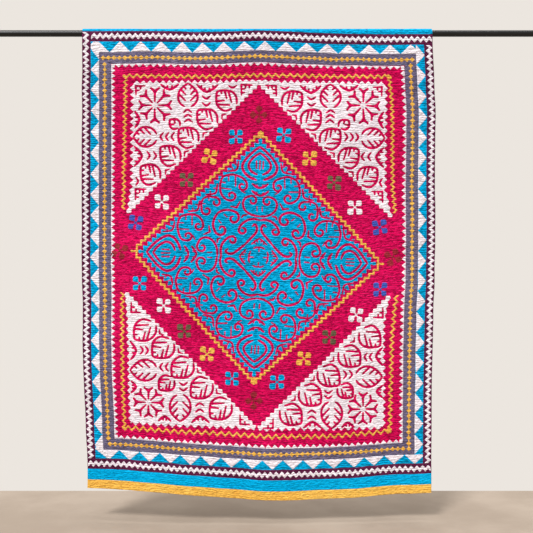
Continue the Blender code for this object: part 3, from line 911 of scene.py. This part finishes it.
yellow = field()
LEGS = [
    [(122.7, 209.5), (124.3, 140.0), (125.5, 79.5)],
    [(126.0, 76.2), (222.0, 76.0), (256.0, 75.1), (330.0, 76.3), (389.0, 76.6)],
    [(389.5, 79.5), (390.5, 86.0), (392.7, 137.0), (393.0, 187.0), (395.5, 213.0)],
    [(121.7, 292.0), (121.9, 330.0), (123.5, 427.5)],
    [(123.5, 428.6), (166.0, 430.8), (216.0, 433.4), (257.0, 435.8), (300.0, 436.4), (330.0, 436.2), (360.0, 434.5),
     (389.0, 432.4)],
    [(390.5, 431.5), (391.0, 400.0), (392.5, 340.0), (396.8, 295.0)]]
WAVE = [(0.0252, 0.0132), (0.0312, 0.0158), (0.0256, 0.0134), (0.0268, 0.0140), (0.0340, 0.0186), (0.0294, 0.0150)]
for leg, (pitch, wave) in zip(LEGS, WAVE):
    run = to_chart(leg)
    length = np.hypot(*(run[1:] - run[:-1]).T).sum()
    zigzag_band(yellow, run, 2 * int(round(length / pitch)), wave, 0.0054)
for x, y in ((125.2, 76.7), (389.4, 76.7), (123.6, 428.7), (389.8, 432.0)):
    stroke(yellow, to_chart([(x - 1.0, y - 0.9), (x + 1.0, y + 0.9)]), 0.0066)
# the stepped line round the medallion
R_YEL = 125.0
rounds = stepped_diamond(R_YEL, 4.25)
loop = []
for part, tip in zip(rounds, ((0, 1), (-1, 0), (0, -1), (1, 0))):
    loop += [part, np.array([tip], float) * (R_YEL - 4.6)]
stair = np.concatenate([np.array([(R_YEL - 4.6, 0.0)])] + loop)
stroke(yellow, by_hand(on_medallion(stair), 0.0016, 59), 0.0043)
for tip in ((0, 1), (1, 0), (0, -1), (-1, 0)):
    t = np.array(tip, float)
    stroke(yellow, on_medallion([t * (R_YEL - 4.0), t * R_YEL]), 0.0042)
    stroke(yellow, on_medallion([t * R_YEL, t * (R_YEL + 0.7)]), 0.0056)
add(patch("yellow_zigzags", yellow, YELLOW), "yellow_cotton")

# ---------------------------------------------------------------- four-petal flowers
# board position, colour, turn in degrees
FLOWERS = [
    (259.0, 114.5, "brown", 45), (119.2, 250.8, "brown", 18), (393.3, 256.8, "brown", -22), (254.0, 400.5, "brown", 45),
    (236.0, 136.7, "turquoise", 0), (210.0, 156.5, "yellow", 12), (186.5, 180.0, "olive", 2),
    (161.5, 202.0, "white", 4), (135.5, 223.0, "royal", 10),
    (284.0, 135.0, "turquoise", 6), (309.5, 158.5, "yellow", 2), (334.0, 183.0, "olive", 6),
    (355.0, 207.5, "white", 0), (380.0, 227.0, "royal", -8),
    (139.5, 283.5, "turquoise", 2), (164.0, 305.5, "white", 3), (184.5, 331.0, "olive", 0),
    (207.0, 354.5, "yellow", 5), (232.0, 378.5, "turquoise", 0),
    (277.0, 381.5, "turquoise", 0), (304.0, 358.5, "yellow", 6), (329.0, 337.0, "olive", 3),
    (356.0, 315.0, "white", 8), (380.4, 289.5, "royal", 0)]
COLOURS = {"brown": BROWN, "turquoise": TURQUOISE, "yellow": YELLOW, "olive": OLIVE, "white": WHITE, "royal": ROYAL}
# one petal along its own axis: a square leaf standing on its corner
PETAL = [(0.0, -0.62), (2.2, -0.55), (5.2, -3.15), (6.0, -3.5), (7.0, -3.05), (8.9, -1.2), (9.25, 0.0),
         (8.9, 1.2), (7.0, 3.05), (6.0, 3.5), (5.2, 3.15), (2.2, 0.55), (0.0, 0.62)]

for colour, mat in COLOURS.items():
    d = field()
    for k, (cx, cy, which, turn) in enumerate(FLOWERS):
        if which != colour:
            continue
        for q in range(4):
            a = math.radians(45 + 90 * q + turn)
            size = 1.0 + 0.07 * lattice(k, q, 61)
            rot = np.array([(math.cos(a), math.sin(a)), (-math.sin(a), math.cos(a))])
            polygon(d, by_hand(to_chart(np.array(PETAL) @ rot * size + (cx, cy)), 0.0012, 62))
        stroke(d, to_chart([(cx - 0.3, cy), (cx + 0.3, cy)]), 0.0040)
    add(patch("flowers_" + colour, d, mat), NAMES[mat.name])

# ---------------------------------------------------------------- the medallion's cut-work
R_MED = 118.6
shape = field()
polygon(shape, by_hand(on_medallion(np.concatenate(stepped_diamond(R_MED, 4.25, 0.5))), 0.0012, 63))
for tip in ((0, 1), (1, 0), (0, -1), (-1, 0)):
    t = np.array(tip, float)
    stroke(shape, on_medallion([t * (R_MED - 6.0), t * (R_MED - 2.0)]), 0.0052)
    stroke(shape, on_medallion([t * (R_MED - 2.0), t * (R_MED - 1.2)]), 0.0078)


def volute(start, centre, turns, way, inner=1.7):
    """A scroll that winds in from start round centre; way is 1 for anticlockwise."""
    start, centre = np.array(start, float), np.array(centre, float)
    arm = start - centre
    r0, a0 = np.hypot(*arm), math.atan2(arm[1], arm[0])
    t = np.linspace(0, 1, 22)[1:]
    r = r0 + (inner - r0) * t ** 0.85
    a = a0 + way * 2 * math.pi * turns * t
    return [tuple(p) for p in np.stack([centre[0] + r * np.cos(a), centre[1] + r * np.sin(a)], axis=1)]


def scroll(pts, *ends):
    """A smooth line whose last point (and first) winds into a volute."""
    pts = [tuple(p) for p in pts]
    body = spline(pts)
    tail_end = volute(pts[-1], *ends[0]) if ends and ends[0] else []
    head_end = volute(pts[0], *ends[1])[::-1] if len(ends) > 1 else []
    return np.array(list(head_end) + [tuple(p) for p in body] + list(tail_end))


# lines cut away in one eighth of the medallion, mirrored into the others; the
# second number of each point is up
CUTS = [
    # the eye at each tip: two nested drops and three bars
    (spline([(0.0, 110.4), (6.0, 105.8), (13.0, 99.0), (17.4, 91.5), (15.8, 85.0), (10.0, 80.2), (3.8, 77.8)]), 1.2),
    (spline([(0.0, 104.2), (5.4, 100.4), (9.8, 95.6), (11.3, 91.0), (9.4, 86.7), (6.2, 84.4), (2.9, 83.0)]), 1.08),
    ([(0.0, 96.4), (0.0, 88.0)], 0.95), ([(3.5, 96.0), (3.2, 88.6)], 0.95),
    # two crowns below it
    (spline([(0.0, 69.8), (3.2, 70.8), (7.6, 73.8)]), 1.15), ([(2.6, 70.6), (2.8, 73.0)], 0.8),
    (spline([(0.0, 61.6), (3.6, 63.2), (8.0, 66.6)]), 1.15), ([(2.8, 62.6), (3.0, 65.4)], 0.8),
    # the heart with two volutes
    (scroll([(0.0, 41.0), (8.0, 42.2), (14.6, 46.4), (17.1, 53.0), (15.0, 58.6), (9.8, 61.2)], ((7.4, 56.4), 0.90, 1)), 1.0),
    ([(2.6, 50.8), (2.6, 46.4)], 0.85),
    # the arch below it
    (scroll([(0.0, 37.3), (6.0, 38.0), (12.4, 36.4), (18.0, 31.6), (20.2, 26.4)], ((16.4, 26.6), 0.76, -1, 2.2)), 1.08),
    # the long curve of the centre lozenge, crossing the diagonal
    (spline([(6.8, 31.0), (5.0, 32.8), (3.1, 31.6), (2.2, 28.6), (3.4, 24.6), (7.9, 19.2), (13.2, 13.4)]), 1.12),
    # toothed chevron and T in the centre
    ([(0.0, 18.8), (3.4, 16.6), (7.2, 13.2)], 1.0), ([(2.2, 17.4), (1.6, 14.8)], 0.75), ([(4.8, 15.4), (4.0, 13.2)], 0.75),
    (spline([(0.0, 9.6), (3.0, 9.4), (5.4, 8.4)]), 0.85), ([(0.0, 9.6), (0.0, 5.2)], 0.85),
    # the scrolled leaf beside the axis
    (scroll([(13.2, 71.6), (13.8, 75.3), (17.2, 78.8), (26.0, 81.6), (32.0, 80.8), (37.2, 78.0), (39.5, 70.4),
             (38.5, 62.4), (34.6, 57.4), (30.4, 55.6)], ((28.5, 60.6), 0.90, -1), ((17.9, 70.8), 0.90, 1)), 1.0),
    ([(30.9, 79.8), (30.9, 75.6)], 0.85), ([(24.6, 81.0), (24.6, 70.4)], 0.90),
    ([(38.6, 73.4), (34.4, 73.0)], 0.85), ([(38.9, 67.4), (29.0, 67.0)], 0.90),
    # comb marks along the stepped edge
    (spline([(31.2, 84.6), (24.6, 86.0), (22.4, 88.6), (21.2, 95.2)], 3), 0.90), ([(27.0, 85.6), (27.1, 88.4)], 0.80),
    ([(22.0, 91.0), (24.6, 91.4)], 0.80),
    (spline([(53.4, 60.2), (45.4, 61.4), (43.2, 63.6), (42.3, 71.0)], 3), 0.90), ([(48.9, 61.0), (49.2, 64.2)], 0.80),
    ([(42.8, 66.9), (45.8, 67.0)], 0.80),
    # small leaf on the diagonal, by the edge
    (scroll([(56.2, 56.2), (58.3, 51.4), (58.0, 45.4)], ((52.8, 43.9), 0.90, -1)), 1.0),
    ([(58.0, 50.6), (54.6, 50.6)], 0.80),
    # larger leaf on the diagonal, nearer the centre
    (scroll([(42.2, 42.2), (45.2, 36.6), (46.2, 29.8), (44.2, 23.6)], ((37.8, 26.0), 0.92, -1)), 1.08),
    ([(41.0, 35.4), (38.4, 32.4)], 0.85),
    # checks and small marks
    ([(29.0, 49.9), (23.2, 49.0), (20.2, 54.8)], 0.95), (spline([(17.7, 38.8), (16.3, 41.2), (12.9, 41.8)]), 0.95),
    ([(18.6, 66.0), (15.0, 64.0)], 0.85),
]


def eased(pts):
    """The pattern sits a little to the right of the diamond's middle, but not at its tips."""
    p = np.array(pts, dtype=float)
    p[:, 0] += 1.3 * np.clip(1 - (p[:, 1] / 100.0) ** 2, 0, 1) * np.clip(1 - (p[:, 0] / 110.0) ** 4, 0, 1)
    return p


cut = field()
LINE = 0.0044
for line, weight in CUTS:
    base = np.asarray(line, dtype=float)
    for swap in (False, True):
        q = base[:, ::-1] if swap else base
        for sx in (1, -1):
            for sy in (1, -1):
                stroke(cut, by_hand(on_medallion(eased(q * (sx, sy))), 0.0017, 65), LINE * weight, 0.012)
add(patch("medallion_cutwork", np.minimum(shape, -cut), TURQUOISE), "turquoise_cotton", "medallion")

# ---------------------------------------------------------------- the corner panels
# board places of the motifs' corner, the outline's corner, its tip along the end and its tip
# along the side; how far the side's tip leans out; spacing and depth of its teeth
CORNERS = {
    "upper_left": ((131.2, 82.0), (131.2, 81.6), (261.0, 80.0), (130.2, 212.6), 3.8, (6.3, 6.9), (3.4, 4.0)),
    "upper_right": ((386.9, 83.1), (386.9, 82.6), (257.2, 80.0), (386.0, 216.4), 6.8, (6.3, 6.9), (3.4, 3.4)),
    "lower_left": ((130.0, 425.0), (128.6, 425.0), (256.1, 429.3), (126.4, 292.6), 1.7, (7.3, 6.8), (3.8, 3.0)),
    "lower_right": ((385.0, 430.0), (385.0, 430.0), (257.3, 430.0), (384.8, 296.4), 6.0, (7.3, 7.0), (3.8, 3.2))}


def row_of(first, last, count):
    """Evenly spaced places from first to last."""
    first, last = np.array(first), np.array(last)
    return [tuple(first + (last - first) * k / (count - 1)) for k in range(count)]


# the two upper layouts are one, and so are the two lower ones, but each was cut by hand
UP_LEFT = dict(
    star=(23.4, 23.0, 1.0), leaves=((56.6, 13.2, -90, 11.4, 10.6), (13.8, 54.8, 180, 11.4, 10.6)), radii=(10.0, 10.5),
    discs=[(95.5, 18.4), (76.5, 37.3), (57.4, 55.8), (39.6, 73.7), (19.3, 92.8)],
    bud=(43.3, 42.0, 5.1), over=((75.4, 15.2), (75.2, 21.8)), under=((56.4, 28.8), (56.8, 33.6), (57.0, 38.6)),
    left=((30.2, 54.2), (35.6, 54.2), (41.4, 54.2)), right=((17.2, 73.4), (23.8, 73.2)),
    scallops=((38.0, 2.6, 90, 8.7, 5.0), (76.1, 2.6, 90, 10.2, 7.2), (3.8, 37.3, 0, 8.0, 4.1), (3.2, 74.0, 0, 9.6, 7.3)),
    nicks=((101.8, 4.6, 90), (5.6, 99.4, 0)), angles=((4.6, 4.0, 8.8, 1), (110.4, 2.6, 10.6, 2), (4.1, 107.2, 10.6, 2)))
UP_RIGHT = dict(UP_LEFT, discs=row_of((95.0, 18.4), (19.6, 93.8), 5), angles=((5.0, 4.2, 8.8, 1), (110.4, 2.0, 10.6, 2),
                                                                            (4.0, 108.2, 10.6, 2)))
LOW_RIGHT = dict(
    star=(21.7, 20.6, 0.93), leaves=((53.3, 15.2, -90, 13.0, 11.2), (16.1, 52.8, 180, 13.0, 11.2)), radii=(10.9, 11.2),
    discs=[(94.8, 15.8), (75.6, 35.2), (57.0, 54.8), (36.1, 73.9), (15.6, 93.3)],
    bud=(40.3, 39.2, 7.9), over=((73.3, 12.5), (73.3, 18.3)), under=((57.0, 33.3), (57.0, 38.5)),
    left=((34.7, 55.4), (40.2, 55.4)), right=((13.6, 72.8), (19.0, 72.8)),
    scallops=((36.9, 2.4, 90, 6.3, 4.8), (72.5, 2.2, 90, 8.8, 6.2), (2.4, 37.8, 0, 6.2, 5.4), (2.2, 73.4, 0, 8.8, 6.2)),
    nicks=(), angles=((112.2, 2.2, 9.4, 1), (1.6, 112.2, 9.6, 1)))
LOW_LEFT = dict(
    star=(18.2, 22.2, 0.93), leaves=((50.2, 17.2, -90, 13.0, 11.2), (13.6, 54.4, 180, 13.0, 11.2)), radii=(10.9, 11.2),
    discs=[(91.2, 16.5), (72.2, 37.0), (53.2, 57.8), (33.7, 77.4), (15.4, 95.2)],
    bud=(37.0, 41.7, 7.9), over=((69.8, 14.3), (69.8, 20.1)), under=((53.6, 35.6), (53.6, 41.0)),
    left=((31.6, 57.6), (37.1, 57.6)), right=((11.8, 74.8), (17.0, 74.6)),
    scallops=((34.7, 4.2, 90, 6.1, 4.8), (70.2, 2.6, 90, 8.6, 6.2), (0.8, 37.5, 0, 5.9, 4.7), (0.2, 74.4, 0, 8.9, 5.8)),
    nicks=(), angles=((109.8, 0.6, 9.4, 1), (0.9, 112.7, 9.6, 1)))
LAYOUT = {"upper_left": UP_LEFT, "upper_right": UP_RIGHT, "lower_left": LOW_LEFT, "lower_right": LOW_RIGHT}


def vee(a, b, turn, wide=4.0, high=2.6):
    """A small chevron pointing along turn."""
    t = math.radians(turn)
    ax, bx = np.array((math.cos(t), math.sin(t))), np.array((-math.sin(t), math.cos(t)))
    at = np.array((a, b), dtype=float)
    return spline([at + bx * wide - ax * high / 2, at + ax * high / 2, at - bx * wide - ax * high / 2], 4)


def star(a, b, size):
    """Eight rays that widen outwards into short forks, as closed outlines."""
    out = []
    for k in range(8):
        t = math.radians(45 * k)
        d, n = np.array((math.cos(t), math.sin(t))), np.array((-math.sin(t), math.cos(t)))
        grow = size * (1.0 + 0.05 * lattice(k, int(a), 67))
        half = [(3.0, 0.70), (7.5, 1.10), (11.6, 1.30), (13.4, 2.5), (15.8, 5.2), (17.6, 4.3), (15.9, 1.7), (14.9, 0.0)]
        shape = half + [(p, -q) for p, q in half[-2::-1]]
        out.append([(a, b) + d * p * grow + n * q for p, q in shape])
    return out


def disc(a, b, wide, high):
    """A veined leaf disc: pointed towards the panel's corner, open on the far side."""
    r = np.array((wide, high))
    loop = [(0.49, 0.80), (-0.10, 0.97), (-0.50, 0.87), (-0.90, 0.50), (-1.03, 0.06), (-1.05, -0.44), (-0.95, -0.83),
            (-0.42, -0.96), (0.19, -0.95), (0.67, -0.73), (0.96, -0.28), (0.97, 0.34)]
    out = [(spline(np.array(loop) * r + (a, b), 4), 0.96, 1.0)]
    marks = [((-0.18, -0.90), (-0.02, -0.20)), ((-0.97, 0.09), (-0.25, 0.00))]
    if wide > 7:
        marks += [((0.17, -0.90), (0.46, 0.18)), ((-0.80, 0.40), (0.27, 0.45)),
                  ((-0.57, -0.90), (-0.54, -0.66)), ((-1.00, -0.42), (-0.76, -0.44))]
    for p, q in marks:
        out.append(([np.array(p) * r + (a, b), np.array(q) * r + (a, b)], 1.00, 0.66))
    return out


def leaf(a, b, turn, long, wide):
    """A drop-shaped leaf with its tip along turn, open at the foot, with paired veins."""
    t = math.radians(turn)
    ax, bx = np.array((math.cos(t), math.sin(t))) * long, np.array((-math.sin(t), math.cos(t))) * wide
    at = np.array((a, b), dtype=float)
    out = []
    for s in (1, -1):
        side = [(1.04, 0.0), (0.78, 0.40), (0.40, 0.80), (-0.04, 0.94), (-0.44, 0.88), (-0.80, 0.62), (-0.99, 0.32)]
        out.append((spline([at + ax * p + bx * s * q for p, q in side], 5), 0.94, 1.0))
        for (p, q), (pp, qq) in (((0.76, 0.42), (0.55, 0.22)), ((0.48, 0.70), (0.07, 0.28)), ((0.10, 0.90), (-0.47, 0.26))):
            out.append(([at + ax * p + bx * s * q, at + ax * pp + bx * s * qq], 1.00, 0.70))
    return out


def scallop(a, b, turn, wide, deep):
    """A thick hanging bow by an edge, toothed inside."""
    t = math.radians(turn)
    ax, bx = np.array((math.cos(t), math.sin(t))), np.array((-math.sin(t), math.cos(t)))
    at = np.array((a, b), dtype=float)
    q = np.linspace(-1, 1, 9)
    out = [([at + bx * wide * s + ax * deep * (1 - abs(s) ** 1.45) for s in q], 1.08, 1.0)]
    for s in ((-0.30, 0.30) if wide < 9 else (-0.62, -0.24, 0.24, 0.62)):
        p = at + bx * wide * s + ax * deep * (1 - abs(s) ** 1.45)
        out.append(([p, p - ax * 2.8 - bx * s * 1.2], 1.05, 0.70))
    return out


def corner_bit(a, b, leg, teeth):
    """An angle mark with short teeth inside."""
    out = [([(a + leg, b), (a, b), (a, b + leg)], 0.90, 1.0)]
    for part in ((0.52,), (0.40, 0.76))[teeth - 1]:
        out += [([(a + leg * part, b), (a + leg * part - 0.2, b + 3.0)], 0.90, 0.7),
                ([(a, b + leg * part), (a + 3.0, b + leg * part - 0.2)], 0.90, 0.7)]
    return out


def panel_cuts(plan):
    """What is cut from one corner panel, across and down from its outer corner."""
    lines_cut = []
    for place in plan["leaves"]:
        lines_cut += leaf(*place)
    for at in plan["discs"]:
        lines_cut += disc(*at, *plan["radii"])
    a, b, r = plan["bud"]
    lines_cut += disc(a, b, r, r)
    for a, b, turn, wide, deep in plan["scallops"]:
        lines_cut += scallop(a, b, turn, wide, deep)
    for which, turn in (("over", 90), ("under", -90), ("left", 180), ("right", 0)):
        lines_cut += [(vee(*at, turn), 0.88, 1.0) for at in plan[which]]
    lines_cut += [(vee(*at, 4.0, 2.2), 0.88, 1.0) for at in plan["nicks"]]
    for p, q in zip(plan["discs"][:-1], plan["discs"][1:]):
        a, b = (np.array(p) + q) / 2 + (4.9, 5.0)
        lines_cut.append(([(a + 4.0, b - 1.0), (a + 0.3, b - 0.1), (a - 0.2, b + 4.0)], 0.84, 1.0))
    for place in plan["angles"]:
        lines_cut += corner_bit(*place)
    return lines_cut, star(*plan["star"])


def panel_outline(leg_a, leg_b, lean, pitch, depth):
    """Toothed along both legs, stepped along the slope; the side leans out at its tip."""
    tread = 4.25
    pts = []
    xs = np.linspace(-0.8, leg_a - 2.0, int(round((leg_a - 1.2) / pitch[0])) + 1)
    for a, b in zip(xs[:-1], xs[1:]):
        f = 1.0 if a < leg_a - 22 else 0.6
        pts += [(a, -1.1), ((a + b) / 2, depth[0] * f - 1.1)]
    pts.append((leg_a - 2.0, -0.8))
    m = int(round((leg_a + leg_b) / 2 / tread))
    reach = leg_a + lean
    for k in range(m):
        at, low = leg_a - reach * k / m, leg_b * (k + 1) / m
        pts += [(at + 0.2, low + 0.2), (at - reach / m + 0.5, low + 0.5)]
    xs = np.linspace(-0.8, leg_b - 2.0, int(round((leg_b - 1.2) / pitch[1])) + 1)[::-1]
    for a, b in zip(xs[:-1], xs[1:]):
        f = 1.0 if b < leg_b - 28 else 0.65
        for across, down in ((-1.2, a), (depth[1] * f - 1.2, (a + b) / 2)):
            out = max(0.0, (down - leg_b + 35.0) / 35.0)
            pts.append((across - lean * out * out, down))
    return np.array(pts)


for which, (o, corner, tip_u, tip_w, lean, pitch, depth) in CORNERS.items():
    o, ea, eb = np.array(o), np.array(tip_u) - corner, np.array(tip_w) - corner
    corner = np.array(corner)
    leg_a, leg_b = np.hypot(*ea), np.hypot(*eb)
    ea, eb = ea / leg_a, eb / leg_b
    seed = 71 + 2 * list(CORNERS).index(which)

    def lay(pts, outline=False):
        """Panel coordinates to the chart; the cuts keep square to the board."""
        p = np.array(pts, dtype=float)
        if outline:
            return by_hand(to_chart(corner + p[:, :1] * ea + p[:, 1:] * eb), 0.0012, seed)
        return by_hand(to_chart(o + p * np.sign((ea[0], eb[1]))), 0.0016, seed)

    shape, cut = field(), field()
    polygon(shape, lay(panel_outline(leg_a, leg_b, lean, pitch, depth), True))
    lines_cut, rays = panel_cuts(LAYOUT[which])
    for line, weight, thin in lines_cut:
        if thin < 1:
            wedge(cut, *lay(line), 0.0053 * weight, 0.0053 * weight * thin)
        else:
            stroke(cut, lay(line), 0.0053 * weight, 0.010)
    for ray in rays:
        polygon(cut, lay(ray))
    add(patch("corner_cutwork_" + which, np.minimum(shape, -cut), WHITE), "white_cotton", "corner_panel_" + which)

# ---------------------------------------------------------------- the rod
rod_mat = bpy.data.materials.new("black_paint")
rb = Build(rod_mat)
co = rb.new("ShaderNodeTexCoord").outputs["Object"]
grain = rb.noise(co, 90.0, 4.0, 0.6, (0.15, 1.0, 1.0))
wear = rb.noise(co, 14.0, 5.0, 0.65)
base = rb.mix(rb.step(grain, 0.35, 0.7), rgb(12, 12, 11), rgb(22, 21, 20))
base = rb.mix(rb.math("MULTIPLY", rb.step(wear, 0.64, 0.74), 0.30), base, rgb(62, 59, 54))
rb.link(base, rb.shader.inputs["Base Color"])
rb.link(rb.math("ADD", 0.30, rb.math("MULTIPLY", grain, 0.16)), rb.shader.inputs["Roughness"])
rb.shader.inputs["Specular IOR Level"].default_value = 0.35
bump = rb.new("ShaderNodeBump")
bump.inputs["Strength"].default_value = 0.25
bump.inputs["Distance"].default_value = 0.0004
rb.link(grain, bump.inputs["Height"])
rb.link(bump.outputs[0], rb.shader.inputs["Normal"])


def turned(profile, sides):
    """Closed solid turned round the X axis from (x, radius) rows."""
    t = np.linspace(0, 2 * math.pi, sides, endpoint=False)
    rings = np.array([[(x, r * math.cos(a), r * math.sin(a)) for a in t] for x, r in profile])
    n = len(profile)
    pts = np.concatenate([rings.reshape(-1, 3), [(profile[0][0], 0, 0), (profile[-1][0], 0, 0)]])
    i, j = np.meshgrid(np.arange(n - 1), np.arange(sides), indexing="ij")
    i, j = i.ravel(), j.ravel()
    k = (j + 1) % sides
    quads = np.stack([i * sides + j, i * sides + k, (i + 1) * sides + k, (i + 1) * sides + j], axis=1)
    j = np.arange(sides)
    k = (j + 1) % sides
    caps = np.concatenate([np.stack([np.full(sides, n * sides), k, j], axis=1),
                           np.stack([np.full(sides, n * sides + 1), (n - 1) * sides + j, (n - 1) * sides + k], axis=1)])
    return pts, quads, caps


half = ROD_LENGTH / 2
profile = [(-half, ROD_RADIUS - 0.0030), (-half, ROD_RADIUS - 0.0014), (-half + 0.0005, ROD_RADIUS - 0.0005),
           (-half + 0.0015, ROD_RADIUS)]
profile += [(x, ROD_RADIUS) for x in np.linspace(-half + 0.02, half - 0.02, 53)]
profile += [(half - 0.0015, ROD_RADIUS), (half - 0.0005, ROD_RADIUS - 0.0005), (half, ROD_RADIUS - 0.0014),
            (half, ROD_RADIUS - 0.0030)]
pts, quads, caps = turned(profile, 64)
blank = np.zeros((len(pts), 3))
rod = make("hanging_rod", pts, [quads, caps], blank, blank, rod_mat)
rod.data.set_sharp_from_angle(angle=math.radians(35))
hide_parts("rod")

print("triangles:", sum(COUNTS.values()), "largest:", sorted(COUNTS.items(), key=lambda kv: -kv[1])[:6])
